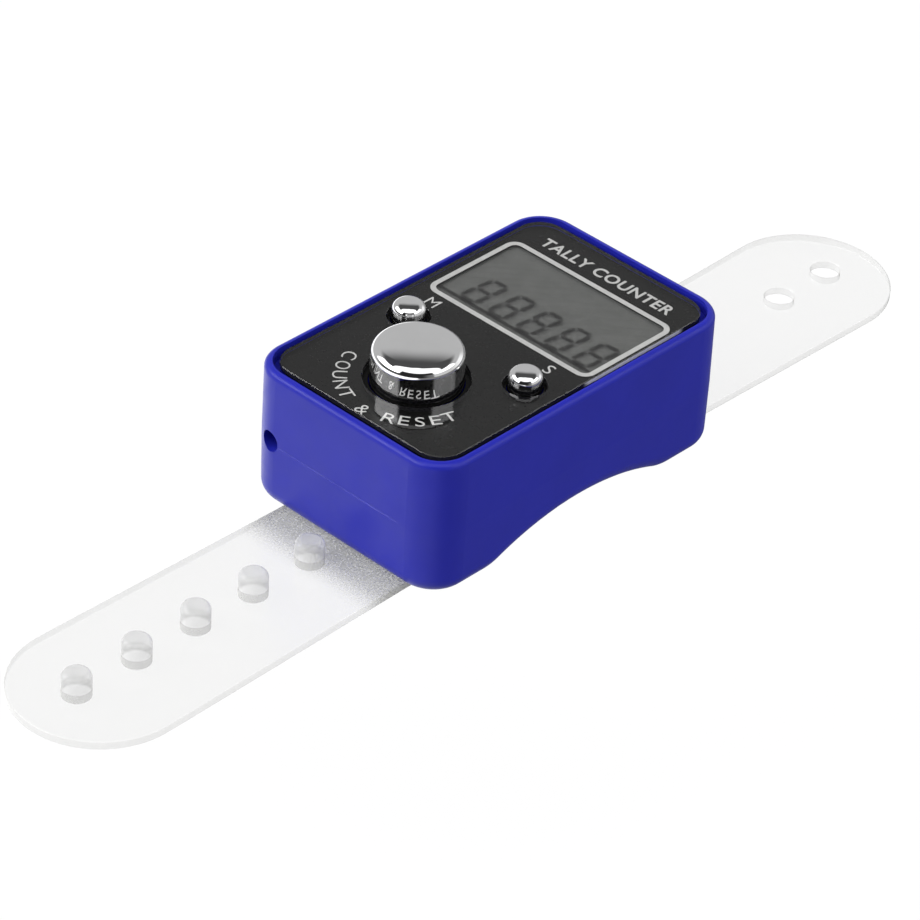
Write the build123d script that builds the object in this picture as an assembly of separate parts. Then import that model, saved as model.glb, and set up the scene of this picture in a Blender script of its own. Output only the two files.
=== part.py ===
from build123d import *
import math
import os

os.makedirs("parts", exist_ok=True)

# Electronic finger tally counter. Millimetres, +Z up, +Y towards the display end, +X towards the set button.
# The origin is on the surface the counter stands on, under the middle of the flat-laid strap.

# Case
YB = 1.0  # middle of the case along Y
BODY_W, BODY_L, BODY_R = 26.2, 41.8, 4.1  # at the parting line
Z_FOOT, Z_PART, Z_RIM = 1.02, 8.35, 16.50
DRAFT_TOP, DRAFT_BOTTOM = 0.5, 0.7  # degrees
WALL = 1.35
RIM_EDGE_R, BOTTOM_EDGE_R = 0.68, 1.7
GROOVE_HALF_W, GROOVE_HALF_L, GROOVE_R, Z_GROOVE = 12.28, 20.03, 3.3, 15.20
DECK_HALF_W, DECK_HALF_L, DECK_R, Z_DECK, DECK_T = 11.62, 19.22, 2.7, 15.84, 1.1
ARCH_R, Z_CROWN, ARCH_T, ARCH_BLEND = 31.0, 3.5, 1.2, 6.0  # finger saddle
SEAM_W, SEAM_X0, SEAM_X1 = 0.11, -8.9, 8.0  # V line along the parting line, on both ends
TONGUE_H, TONGUE_T = 0.7, 0.6

# Face sheet
WIN_HALF_W, WIN_HALF_L, WIN_R, WIN_T = 11.7, 19.3, 2.75, 0.5
PRINT_T, INK_GAP = 0.12, 0.04

# Display
LCD_Y = 9.2
LCD_VIEW_W, LCD_VIEW_L, LCD_VIEW_R = 20.7, 11.95, 0.8
GLASS_W, GLASS_L, GLASS_T, LEDGE = 22.0, 14.6, 0.5, 2.0
FILM_T = 0.18

# Buttons: x, y, cap radius, top z, plate hole radius, travel
COUNT = (0.0, -9.6, 4.65, 20.45, 5.3, 0.6)
MODE = (-7.91, -2.73, 1.73, 18.15, 2.2, 0.4)
SET = (7.91, -2.73, 1.73, 18.15, 2.2, 0.4)
GUIDE_GAP = 0.10
Z_GUIDE_LOW, Z_FLANGE_TOP, Z_FLANGE_LOW = 13.30, 13.25, 12.55

# Circuit board
PCB_T, Z_PCB = 0.8, 10.4  # top face
Z_PCB_LOW = Z_PCB - PCB_T
PCB_SCREWS = [(9.5, -9.6), (-9.5, -9.6), (0.0, 18.6)]

# Case screws (three; the fourth corner carries the lanyard eye)
CASE_SCREWS = [(9.4, YB - 17.0), (9.4, YB + 17.0), (-9.4, YB + 17.0)]
HEAD_R, HEAD_SEAT, CLEAR_R, SHANK_R, SCREW_END = 1.55, 2.9, 1.0, 0.85, 13.2

# Lanyard eye through the corner at -X, -Y
EYE_X, EYE_Z, EYE_R = -9.6, 8.55, 1.15
EYE_Y = YB - BODY_L / 2 + (BODY_W / 2 + EYE_X)

# Battery cell 11.6 x 3.05
CELL_X, CELL_Y, CELL_R, CELL_H, Z_CELL = 0.0, YB - 12.0, 5.8, 3.05, 4.88

# Strap
STRAP_T, STRAP_HALF, STRAP_HALF_END = 1.0, 8.45, 9.0
TIP = 59.7
BEND_1 = 13.0  # first bend line from the case's middle, both sides
BEND_2_PEG, BEND_2_HOLE = 36.35, 37.6
PEG_R, PEG_H, PEG_FIRST, PEG_PITCH, PEG_COUNT = 1.5, 2.8, 24.5, 7.55, 5
HOLE_R, HOLE_FIRST = 1.6, 45.25
LOOP_HALF_IN, LOOP_HALF_OUT, LOOP_HALF_Y = 8.75, 9.6, 3.0
LOOP_LOW, LOOP_TOP, STRAP_RISE = 0.78, 1.85, 2.05


def slab(w, l, r, z0, z1, x=0.0, y=YB):
    return Pos(x, y, z0) * extrude(RectangleRounded(w, l, r), amount=z1 - z0)


def cyl(x, y, r, z0, z1):
    return Pos(x, y, (z0 + z1) / 2) * Cylinder(r, z1 - z0)


def tube(x, y, r_out, r_in, z0, z1):
    return cyl(x, y, r_out, z0, z1) - cyl(x, y, r_in, z0 - 1, z1 + 1)


def box(x0, x1, y0, y1, z0, z1):
    return Pos((x0 + x1) / 2, (y0 + y1) / 2, (z0 + z1) / 2) * Box(
        x1 - x0, y1 - y0, z1 - z0
    )


def turned(points, x, y):
    """A solid of revolution about the vertical line at x, y; points are (radius, z)."""
    face = make_face(Polyline(*[(r, 0, z) for r, z in points], close=True))
    return Pos(x, y, 0) * revolve(face, Axis.Z)


def low_edges(solid):
    return solid.faces().sort_by(Axis.Z)[0].outer_wire().edges()


def high_edges(solid):
    return solid.faces().sort_by(Axis.Z)[-1].outer_wire().edges()


def x_cylinder(r, y, z, length):
    return Pos(0, y, z) * Rot(0, 90, 0) * Cylinder(r, length)


def write(name, *solids):
    flat = []
    for s in solids:
        flat += list(s.solids())
    shape = flat[0] if len(flat) == 1 else Compound(children=flat)
    export_step(shape, "parts/" + name + ".step")
    box_ = shape.bounding_box()
    print(name, len(flat), round(sum(s.volume for s in flat), 2), box_.min, box_.max)


CAV_W, CAV_L, CAV_R = BODY_W - 2 * WALL, BODY_L - 2 * WALL, BODY_R - WALL + 0.1

# Lanyard eye: two level bores that meet behind the corner post
eye = Pos(EYE_X, (YB - BODY_L / 2 - 1 + EYE_Y) / 2, EYE_Z) * Rot(90, 0, 0) * Cylinder(
    EYE_R, EYE_Y - (YB - BODY_L / 2 - 1)
)
eye += Pos((-BODY_W / 2 - 1 + EYE_X) / 2, EYE_Y, EYE_Z) * Rot(0, 90, 0) * Cylinder(
    EYE_R, EYE_X - (-BODY_W / 2 - 1)
)
eye += Pos(EYE_X, EYE_Y, EYE_Z) * Sphere(EYE_R)


def eye_block(z0, z1):
    block = slab(CAV_W + 0.6, CAV_L + 0.6, CAV_R + 0.3, z0, z1)
    return block & box(-14, EYE_X + 2.2, YB - 22, EYE_Y + 2.2, z0, z1)


seam = None
for end in (-1, 1):
    bar = Pos((SEAM_X0 + SEAM_X1) / 2, YB + end * BODY_L / 2, Z_PART) * Rot(45, 0, 0) * Box(SEAM_X1 - SEAM_X0, SEAM_W, SEAM_W)
    seam = bar if seam is None else seam + bar

# ---- top shell ----
outer = Pos(0, YB, Z_PART) * extrude(
    RectangleRounded(BODY_W, BODY_L, BODY_R), amount=Z_RIM - Z_PART, taper=DRAFT_TOP
)
outer = fillet(high_edges(outer), RIM_EDGE_R)
outer -= seam
groove = slab(2 * GROOVE_HALF_W, 2 * GROOVE_HALF_L, GROOVE_R, Z_GROOVE, Z_RIM + 1)
groove -= slab(2 * DECK_HALF_W, 2 * DECK_HALF_L, DECK_R, Z_GROOVE - 1, Z_DECK)
top = outer - groove
Z_DECK_LOW = Z_DECK - DECK_T
cavity = slab(CAV_W, CAV_L, CAV_R, Z_PART - 1, Z_DECK_LOW)
keep = []
for bx, by in CASE_SCREWS:
    keep.append(cyl(bx, by, 2.25, Z_PART, Z_DECK_LOW + 0.2))
    sx, sy = math.copysign(1, bx), math.copysign(1, by - YB)
    gusset = box(
        min(bx, bx + sx * 3),
        max(bx, bx + sx * 3),
        min(by, by + sy * 3),
        max(by, by + sy * 3),
        Z_PART,
        Z_DECK_LOW + 0.2,
    )
    keep.append(gusset & slab(CAV_W + 0.4, CAV_L + 0.4, CAV_R + 0.2, Z_PART, Z_RIM))
keep.append(eye_block(Z_PART, EYE_Z + EYE_R + 0.8))
for bx, by in PCB_SCREWS:
    keep.append(cyl(bx, by, 1.7, Z_PCB, Z_DECK_LOW + 0.2))
keep.append(tube(COUNT[0], COUNT[1], 6.3, COUNT[2] + GUIDE_GAP, Z_GUIDE_LOW, Z_DECK_LOW + 0.2))
for b in (MODE, SET):
    keep.append(tube(b[0], b[1], 2.9, b[2] + GUIDE_GAP, Z_GUIDE_LOW, Z_DECK_LOW + 0.2))
top -= cavity
for k in keep:
    top += k
top -= slab(GLASS_W + 0.3, GLASS_L + 0.3, 0.5, Z_DECK_LOW - 0.5, Z_DECK + 1, 0, LCD_Y)
for b in (COUNT, MODE, SET):
    top -= cyl(b[0], b[1], b[4], Z_DECK_LOW, Z_DECK + 1)
    top -= cyl(b[0], b[1], b[2] + GUIDE_GAP, Z_GUIDE_LOW - 1, Z_DECK + 1)
for bx, by in PCB_SCREWS:
    top -= cyl(bx, by, 0.62, Z_PCB - 1, 13.7)
for bx, by in CASE_SCREWS:
    top -= cyl(bx, by, SHANK_R + 0.02, Z_PART - 1, SCREW_END + 0.3)
top -= eye
write("top_shell", top)

# ---- bottom shell ----
outer = Pos(0, YB, Z_PART) * extrude(
    RectangleRounded(BODY_W, BODY_L, BODY_R),
    amount=Z_PART - Z_FOOT,
    dir=(0, 0, -1),
    taper=DRAFT_BOTTOM,
)
outer -= x_cylinder(ARCH_R, YB, Z_CROWN - ARCH_R, 60)
feet_edges = [
    e
    for e in outer.edges()
    if abs(e.center().Z - Z_FOOT) < 0.01
    and abs(e.center().X) < 0.1
    and abs(e.center().Y - YB) < 14
]
outer = fillet(feet_edges, ARCH_BLEND)


def rim_of_underside(solid):
    """The tangent chain where the side walls meet the feet and the saddle."""
    out = []
    for e in solid.edges():
        b = e.bounding_box()
        if b.max.Z > Z_CROWN + 0.3 or b.max.Z - b.min.Z > 3:
            continue
        c = e @ 0.5
        a = e @ 0.02
        inside = abs(c.X) < BODY_W / 2 - 1.2 and abs(c.Y - YB) < BODY_L / 2 - 1.2
        corner = math.hypot(abs(c.X) - (BODY_W / 2 - BODY_R), abs(c.Y - YB) - (BODY_L / 2 - BODY_R))
        in_corner = (
            abs(c.X) > BODY_W / 2 - BODY_R
            and abs(c.Y - YB) > BODY_L / 2 - BODY_R
            and corner > BODY_R - 0.6
        )
        if in_corner or not inside:
            out.append(e)
    return out


chain = rim_of_underside(outer)
print("underside edges", len(chain))
outer = fillet(chain, BOTTOM_EDGE_R)
outer -= seam

floor = slab(CAV_W, CAV_L, CAV_R, Z_FOOT + 1.3, Z_PART + 1)
floor -= x_cylinder(ARCH_R + ARCH_T, YB, Z_CROWN - ARCH_R, 60)
bottom = outer - floor
pad = slab(CAV_W + 0.4, CAV_L + 0.4, CAV_R + 0.2, Z_FOOT + 0.8, Z_PART)
for bx, by in CASE_SCREWS:
    sx, sy = math.copysign(1, bx), math.copysign(1, by - YB)
    pillar = cyl(bx, by, 2.25, Z_FOOT + 0.8, Z_PART) + box(
        min(bx, bx + sx * 3),
        max(bx, bx + sx * 3),
        min(by, by + sy * 3),
        max(by, by + sy * 3),
        Z_FOOT + 0.8,
        Z_PART,
    )
    bottom += pillar & pad
bottom += eye_block(EYE_Z - EYE_R - 0.9, Z_PART)
ring = tube(CELL_X, CELL_Y, 6.9, CELL_R + 0.15, Z_FOOT + 0.8, 7.4)
shelf = tube(CELL_X, CELL_Y, CELL_R + 0.4, 4.4, Z_FOOT + 0.8, Z_CELL - 0.02)
cradle = (ring + shelf) & (pad - x_cylinder(ARCH_R + 0.3, YB, Z_CROWN - ARCH_R, 60))
cradle -= box(-1.9, 1.9, CELL_Y + 3.5, CELL_Y + 8, 4.3, 9)
cradle -= box(-1.9, 1.9, CELL_Y - 8, CELL_Y - 5.3, 6.9, 9)
bottom += cradle
tongue = slab(CAV_W - 0.12, CAV_L - 0.12, CAV_R - 0.06, Z_PART - 0.6, Z_PART + TONGUE_H)
tongue -= slab(
    CAV_W - 0.12 - 2 * TONGUE_T,
    CAV_L - 0.12 - 2 * TONGUE_T,
    CAV_R - 0.06 - TONGUE_T,
    Z_PART - 1,
    Z_PART + 2,
)
for sx in (-1, 1):
    for sy in (-1, 1):
        tongue -= Pos(sx * 10.5, YB + sy * 18.6, Z_PART) * Box(8.4, 9.0, 4)
root = slab(CAV_W + 0.4, CAV_L + 0.4, CAV_R + 0.2, Z_PART - 1.4, Z_PART - 0.05)
root -= slab(
    CAV_W - 0.12 - 2 * TONGUE_T,
    CAV_L - 0.12 - 2 * TONGUE_T,
    CAV_R - 0.06 - TONGUE_T,
    Z_PART - 2,
    Z_PART + 2,
)
bottom += root
bottom += tongue
# belt loop under the saddle
loop = box(-LOOP_HALF_OUT, LOOP_HALF_OUT, YB - LOOP_HALF_Y, YB + LOOP_HALF_Y, LOOP_LOW, Z_CROWN + 0.5)
loop = fillet([e for e in loop.edges() if abs(e.center().Z - LOOP_LOW) < 0.01], 0.35)
loop -= box(-LOOP_HALF_IN, LOOP_HALF_IN, YB - 5, YB + 5, LOOP_TOP, Z_CROWN + 2)
bottom += loop
for bx, by in CASE_SCREWS:
    bottom -= cyl(bx, by, HEAD_R + 0.12, -1, HEAD_SEAT)
    bottom -= cyl(bx, by, CLEAR_R, 0, Z_PART + 1)
bottom -= eye
write("bottom_shell", bottom)

# ---- face sheet ----
Z_WIN = Z_RIM - WIN_T
window = slab(2 * WIN_HALF_W, 2 * WIN_HALF_L, WIN_R, Z_WIN, Z_RIM)
for b in (COUNT, MODE, SET):
    window -= cyl(b[0], b[1], b[4], Z_WIN - 1, Z_RIM + 1)
window = chamfer(window.faces().sort_by(Axis.Z)[-1].edges(), 0.08)
write("face_window", window)
Z_PRINT = Z_DECK + PRINT_T
mask = slab(2 * WIN_HALF_W - 0.04, 2 * WIN_HALF_L - 0.04, WIN_R, Z_DECK, Z_PRINT)
mask -= slab(LCD_VIEW_W, LCD_VIEW_L, LCD_VIEW_R, Z_DECK - 1, Z_PRINT + 1, 0, LCD_Y)
for b in (COUNT, MODE, SET):
    mask -= cyl(b[0], b[1], b[2] + GUIDE_GAP + 0.01, Z_DECK - 1, Z_PRINT + 1)
write("face_print", mask)

# ---- display ----
y0, y1 = LCD_Y - GLASS_L / 2, LCD_Y + GLASS_L / 2
z_pol = Z_DECK - INK_GAP
z_fg = z_pol - FILM_T
z_rg = z_fg - GLASS_T
z_rf = z_rg - GLASS_T
z_hold = z_rf - FILM_T
hw = GLASS_W / 2
write("lcd_front_polariser", box(-hw + 0.3, hw - 0.3, y0 + 0.3, y1 - 0.3, z_fg, z_pol))
write("lcd_front_glass", box(-hw, hw, y0, y1, z_rg, z_fg))
write("lcd_rear_glass", box(-hw, hw, y0 + LEDGE, y1, z_rf, z_rg))
write("lcd_reflector", box(-hw + 0.3, hw - 0.3, y0 + LEDGE + 0.2, y1 - 0.3, z_hold, z_rf))
ZB0, ZB1 = y0 + 0.65, y0 + 1.75
holder = slab(GLASS_W + 0.2, GLASS_L + 0.2, 0.6, Z_PCB, z_hold, 0, LCD_Y)
holder -= box(-10.1, 10.1, ZB0 - 0.03, ZB1 + 0.03, Z_PCB - 1, z_hold + 1)
holder -= box(-9.8, 9.8, ZB1 + 1.0, y1 - 1.1, Z_PCB - 1, z_hold - 0.9)
holder -= box(-8.8, 8.8, ZB1 + 2.2, y1 - 2.2, z_hold - 2, z_hold + 1)
for bx, by in CASE_SCREWS:
    holder -= cyl(bx, by, 2.5, 0, 20)
for hx in (-10.4, 10.4):
    holder += cyl(hx, LCD_Y + 2.0, 0.45, Z_PCB_LOW + 0.1, Z_PCB + 0.5)
write("lcd_holder", holder)
write("zebra_strip", box(-10.0, 10.0, ZB0, ZB1, Z_PCB, z_rg))

# ---- circuit board ----
pcb = slab(23.0, 38.6, 2.4, Z_PCB_LOW, Z_PCB)
for bx, by in CASE_SCREWS:
    sx, sy = math.copysign(1, bx), math.copysign(1, by - YB)
    pcb -= cyl(bx, by, 2.6, 0, 20)
    pcb -= Pos(bx + sx * 2, by + sy * 0, 10) * Box(4, 5.2, 20)
    pcb -= Pos(bx, by + sy * 2, 10) * Box(5.2, 4, 20)
pcb -= box(-14, EYE_X + 2.5, YB - 22, EYE_Y + 2.5, 0, 20)
for bx, by in PCB_SCREWS:
    pcb -= cyl(bx, by, 0.8, 0, 20)
for hx in (-10.4, 10.4):
    pcb -= cyl(hx, LCD_Y + 2.0, 0.5, 0, 20)
write("pcb", pcb)
pads = []
for b, r in ((COUNT, 1.7), (MODE, 1.0), (SET, 1.0)):
    disc = cyl(b[0], b[1], r, Z_PCB, Z_PCB + 0.03)
    disc -= box(b[0] - 0.08, b[0] + 0.08, b[1] - 3, b[1] + 3, Z_PCB - 1, Z_PCB + 1)
    pads.append(disc)
write("key_contact_pads", *pads)
BLOB = (2.2, 7.5)
blob = turned(
    [(0, Z_PCB_LOW)]
    + [
        (3.1 * math.cos(math.radians(a)), Z_PCB_LOW - 1.15 * math.sin(math.radians(a)))
        for a in range(0, 81, 16)
    ]
    + [(0, Z_PCB_LOW - 1.15)],
    *BLOB,
)
write("chip_on_board_blob", blob)
crystal = Pos(-7.0, 6.0, Z_PCB_LOW - 1.02) * Rot(90, 0, 0) * Cylinder(1.0, 6.0)
crystal += box(-7.5, -6.5, 8.8, 10.4, Z_PCB_LOW - 0.45, Z_PCB_LOW - 0.02)
write("timing_crystal", crystal)
write(
    "chip_capacitors",
    *[box(x - 0.8, x + 0.8, y - 0.4, y + 0.4, Z_PCB_LOW - 0.8, Z_PCB_LOW) for x, y in ((-3.2, 13.0), (1.0, 13.0), (5.2, 13.0), (-5.0, -1.5))],
)
write(
    "chip_resistors",
    *[box(x - 0.5, x + 0.5, y - 0.25, y + 0.25, Z_PCB_LOW - 0.35, Z_PCB_LOW) for x, y in ((-3.2, 10.8), (8.2, 10.8), (6.0, -1.5), (8.6, 3.0))],
)


def thread(x, y, r, z0, z1, pitch):
    """Shank with rolled thread ridges, tip upwards, drawn as rings."""
    pts = [(0, z0), (r, z0)]
    z = z0 + pitch
    while z < z1 - pitch * 1.2:
        pts += [(r, z), (r * 0.8, z + pitch * 0.35), (r, z + pitch * 0.7)]
        z += pitch
    pts += [(r * 0.75, z1 - pitch * 0.8), (r * 0.35, z1), (0, z1)]
    return turned(pts, x, y)


def screw(x, y, head_r, head_z0, head_z1, r, z1, pitch, slot):
    body = cyl(x, y, head_r, head_z0, head_z1)
    body = chamfer(low_edges(body), head_r * 0.16)
    body += thread(x, y, r, head_z1 - 0.01, z1, pitch)
    cross = Pos(x, y, head_z0) * (Box(slot * 4.2, slot, 0.9) + Box(slot, slot * 4.2, 0.9))
    return body - cross


write("pcb_screws", *[screw(x, y, 1.25, Z_PCB_LOW - 0.7, Z_PCB_LOW, 0.6, 13.4, 0.45, 0.28) for x, y in PCB_SCREWS])
write("case_screws", *[screw(x, y, HEAD_R, HEAD_SEAT - 1.1, HEAD_SEAT, SHANK_R, SCREW_END, 0.6, 0.36) for x, y in CASE_SCREWS])

# ---- battery and contacts ----
cell = cyl(CELL_X, CELL_Y, CELL_R, Z_CELL + 0.35, Z_CELL + CELL_H)
cell = chamfer(high_edges(cell), 0.25)
cell += cyl(CELL_X, CELL_Y, 4.9, Z_CELL + 0.12, Z_CELL + 0.36)
cell += cyl(CELL_X, CELL_Y, 4.6, Z_CELL, Z_CELL + 0.2)
cell += tube(CELL_X, CELL_Y, CELL_R, 5.2, Z_CELL, Z_CELL + 0.36)
write("button_cell", cell)
neg = box(-1.5, 1.5, CELL_Y - 2.5, CELL_Y + 7.3, Z_CELL - 0.22, Z_CELL - 0.06)
neg += cyl(CELL_X, CELL_Y, 0.9, Z_CELL - 0.1, Z_CELL)
neg += box(-1.5, 1.5, CELL_Y + 7.3, CELL_Y + 7.5, Z_CELL - 0.22, Z_PCB_LOW)
write("battery_contact_negative", neg)
zt = Z_CELL + CELL_H
pos = box(-1.5, 1.5, CELL_Y - 6.6, CELL_Y + 2.0, zt + 0.06, zt + 0.24)
pos += cyl(CELL_X, CELL_Y, 0.9, zt, zt + 0.2)
pos += box(-1.5, 1.5, CELL_Y - 6.8, CELL_Y - 6.6, zt + 0.06, Z_PCB_LOW)
write("battery_contact_positive", pos)

# ---- buttons ----


def cap(b, flange_r, edge_r, crown, wall, stem_r, roof):
    x, y, r, zt, _, _ = b
    body = turned(
        [(0, Z_FLANGE_LOW), (r, Z_FLANGE_LOW), (r, zt - crown), (0, zt - crown)], x, y
    )
    body = fillet(high_edges(body), edge_r)
    # shallow dome over the flat top
    flat_r = r - edge_r
    sph = (flat_r**2 + crown**2) / (2 * crown)
    dome = Pos(x, y, zt - sph) * Sphere(sph)
    dome &= cyl(x, y, flat_r, zt - crown - 0.2, zt + 1)
    body += dome
    body += cyl(x, y, flange_r, Z_FLANGE_LOW, Z_FLANGE_TOP)
    if wall:
        body -= tube(x, y, r - wall, stem_r, Z_FLANGE_LOW - 1, zt - roof)
    return body


write("count_button", cap(COUNT, 5.6, 1.2, 0.22, 0.9, 1.5, 1.5))
write("mode_button", cap(MODE, 2.6, 0.95, 0.06, 0, 0, 0))
write("set_button", cap(SET, 2.6, 0.95, 0.06, 0, 0, 0))


def dome_spring(b, base_r, top_r, t):
    x, y = b[0], b[1]
    z0, z1 = Z_PCB, Z_FLANGE_LOW - 0.03
    k = 0.35
    pts = [
        (base_r - 0.8, z0),
        (base_r, z0),
        (base_r, z0 + 0.4),
        (base_r - 0.7, z0 + 0.55),
        (top_r + 0.25, z1 - 0.35),
        (top_r, z1),
        (0, z1),
        (0, z1 - t),
        (top_r - k, z1 - t),
        (base_r - 0.8 - k, z0 + 0.45),
    ]
    return turned(pts, x, y)


write("count_dome_spring", dome_spring(COUNT, 4.6, 2.2, 0.5))
write("mode_dome_spring", dome_spring(MODE, 2.5, 1.25, 0.45))
write("set_dome_spring", dome_spring(SET, 2.5, 1.25, 0.45))
zc = Z_FLANGE_LOW - 0.03
write("count_contact_pill", cyl(COUNT[0], COUNT[1], 1.5, Z_PCB + 0.03 + COUNT[5] + 0.03, zc - 0.5))
write("mode_contact_pill", cyl(MODE[0], MODE[1], 0.75, Z_PCB + 0.03 + MODE[5] + 0.03, zc - 0.45))
write("set_contact_pill", cyl(SET[0], SET[1], 0.75, Z_PCB + 0.03 + SET[5] + 0.03, zc - 0.45))

# ---- strap ----
low = [(-BEND_1, 0), (-11.0, 0), (-3.3, STRAP_RISE), (3.3, STRAP_RISE), (11.0, 0), (BEND_1, 0)]
outline = low + [(y, z + STRAP_T) for y, z in reversed(low)]
profile = make_face(Polyline(*[(0, YB + y, z) for y, z in outline], close=True))
write("strap_centre", extrude(profile, amount=STRAP_HALF, dir=(1, 0, 0), both=True))


def strip(y0, y1):
    """Strap plate between two distances from the case's middle along +Y; mirrored for the peg side."""
    def half(y):
        t = min(1.0, max(0.0, (y - 20.0) / 30.0))
        return STRAP_HALF + t * (STRAP_HALF_END - STRAP_HALF)

    return half


def plate(side, y0, y1, tip):
    half = strip(y0, y1)
    end = tip - STRAP_HALF_END
    last = min(y1, end)
    ys = [y0] + [y for y in (20.0, 50.0) if y0 < y < last] + [last]
    pts = [(half(y) if y < 50 else STRAP_HALF_END, YB + side * y) for y in ys]
    outline = pts + [(-x, y) for x, y in reversed(pts)]
    sketch = make_face(Polyline(*[(x, y, 0) for x, y in outline], close=True))
    if y1 > end:
        disc = Pos(0, YB + side * end) * Circle(STRAP_HALF_END)
        disc &= Pos(0, YB + side * (end + 10)) * Rectangle(40, 20)
        w = half(last) if last < 50 else STRAP_HALF_END
        sketch = make_face(Polyline(*[(x, y, 0) for x, y in outline], close=True))
        return extrude(sketch, amount=STRAP_T, dir=(0, 0, 1)) + extrude(disc, amount=STRAP_T, dir=(0, 0, 1))
    return extrude(sketch, amount=STRAP_T, dir=(0, 0, 1))


def peg(y):
    p = cyl(0, YB - y, PEG_R, STRAP_T - 0.3, STRAP_T + PEG_H)
    return fillet(high_edges(p), 1.0)


TIP_PEG, TIP_HOLE = TIP + YB, TIP - YB  # from the case's middle
pegs = [PEG_FIRST + i * PEG_PITCH for i in range(PEG_COUNT)]
inner = plate(-1, BEND_1, BEND_2_PEG, TIP_PEG)
outer_ = plate(-1, BEND_2_PEG, TIP_PEG, TIP_PEG)
for p in pegs:
    if p < BEND_2_PEG:
        inner += peg(p)
    else:
        outer_ += peg(p)
write("strap_peg_inner", inner)
write("strap_peg_outer", outer_)
write("strap_hole_inner", plate(1, BEND_1, BEND_2_HOLE, TIP_HOLE))
hole_end = plate(1, BEND_2_HOLE, TIP_HOLE, TIP_HOLE)
for i in range(2):
    hole_end -= cyl(0, YB + HOLE_FIRST + i * PEG_PITCH, HOLE_R, -1, 3)
write("strap_hole_outer", hole_end)
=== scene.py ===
import math

import bmesh
import bpy
import numpy as np
from mathutils import Matrix, Vector


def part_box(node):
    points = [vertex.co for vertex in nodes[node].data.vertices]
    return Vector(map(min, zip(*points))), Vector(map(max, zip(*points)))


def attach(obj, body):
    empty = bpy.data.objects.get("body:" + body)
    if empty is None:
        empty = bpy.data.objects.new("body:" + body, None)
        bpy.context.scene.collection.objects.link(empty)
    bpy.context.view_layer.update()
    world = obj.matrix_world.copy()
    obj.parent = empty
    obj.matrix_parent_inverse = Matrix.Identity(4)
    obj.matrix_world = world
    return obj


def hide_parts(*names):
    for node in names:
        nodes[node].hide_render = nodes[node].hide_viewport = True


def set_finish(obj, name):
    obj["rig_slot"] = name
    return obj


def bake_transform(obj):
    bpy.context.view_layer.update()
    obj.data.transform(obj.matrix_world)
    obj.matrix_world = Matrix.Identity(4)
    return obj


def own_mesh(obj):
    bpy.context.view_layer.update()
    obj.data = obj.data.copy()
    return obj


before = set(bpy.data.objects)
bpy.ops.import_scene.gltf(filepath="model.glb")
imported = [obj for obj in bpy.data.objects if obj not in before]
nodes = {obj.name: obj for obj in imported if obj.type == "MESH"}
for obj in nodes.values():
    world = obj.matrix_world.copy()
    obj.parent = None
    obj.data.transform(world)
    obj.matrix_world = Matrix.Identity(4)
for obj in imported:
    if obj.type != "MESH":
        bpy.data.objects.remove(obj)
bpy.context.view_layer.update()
MM = 0.001


# ---------------------------------------------------------------- node graphs
class Graph:
    """Short names for building a shader tree."""

    def __init__(self, tree):
        self.tree = tree
        tree.nodes.clear()

    def node(self, kind, **settings):
        n = self.tree.nodes.new(kind)
        for key, value in settings.items():
            setattr(n, key, value)
        return n

    def put(self, socket, value):
        if isinstance(value, bpy.types.NodeSocket):
            self.tree.links.new(value, socket)
        else:
            socket.default_value = value

    def math(self, op, a, b=0.0, clamp=False):
        n = self.node("ShaderNodeMath", operation=op, use_clamp=clamp)
        self.put(n.inputs[0], a)
        self.put(n.inputs[1], b)
        return n.outputs[0]

    def step(self, x, a, b, lo=0.0, hi=1.0):
        n = self.node("ShaderNodeMapRange", interpolation_type="SMOOTHSTEP")
        for i, v in enumerate((x, a, b, lo, hi)):
            self.put(n.inputs[i], v)
        return n.outputs[0]

    def band(self, x, low, high, soft):
        """1 between low and high, 0 outside, with soft edges."""
        up = self.step(x, low - soft, low + soft)
        down = self.step(x, high - soft, high + soft, 1.0, 0.0)
        return self.math("MULTIPLY", up, down)

    def mix(self, fac, a, b):
        n = self.node("ShaderNodeMix", data_type="RGBA")
        self.put(n.inputs[0], fac)
        self.put(n.inputs[6], a)
        self.put(n.inputs[7], b)
        return n.outputs[2]

    def mix_shader(self, fac, a, b):
        n = self.node("ShaderNodeMixShader")
        self.put(n.inputs[0], fac)
        self.put(n.inputs[1], a)
        self.put(n.inputs[2], b)
        return n.outputs[0]

    def noise(self, scale, detail=3.0, rough=0.5, vector=None):
        n = self.node("ShaderNodeTexNoise")
        n.inputs["Scale"].default_value = scale
        n.inputs["Detail"].default_value = detail
        n.inputs["Roughness"].default_value = rough
        self.put(n.inputs["Vector"], vector or self.coords())
        return n.outputs["Fac"]

    def mirror(self, straight):
        """The share that a clear face mirrors, by Schlick's formula. straight is its share seen straight on."""
        facing = self.node("ShaderNodeLayerWeight")
        facing.inputs["Blend"].default_value = 0.5
        steep = self.math("POWER", facing.outputs["Facing"], 5.0)
        return self.math("ADD", self.math("MULTIPLY", steep, 1.0 - straight), straight)

    def coords(self):
        if not hasattr(self, "_coords"):
            self._coords = self.node("ShaderNodeTexCoord")
        return self._coords.outputs["Object"]

    def normal(self):
        self.coords()
        return self._coords.outputs["Normal"]

    def axes(self, vector):
        n = self.node("ShaderNodeSeparateXYZ")
        self.put(n.inputs[0], vector)
        return n.outputs

    def bump(self, height, strength, distance, normal=None):
        n = self.node("ShaderNodeBump")
        n.inputs["Strength"].default_value = strength
        n.inputs["Distance"].default_value = distance
        self.put(n.inputs["Height"], height)
        if normal is not None:
            self.put(n.inputs["Normal"], normal)
        return n.outputs[0]

    def principled(self, **sockets):
        n = self.node("ShaderNodeBsdfPrincipled")
        for key, value in sockets.items():
            self.put(n.inputs[key.replace("_", " ")], value)
        return n

    def out(self, shader):
        n = self.node("ShaderNodeOutputMaterial")
        self.put(n.inputs["Surface"], shader)


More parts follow.
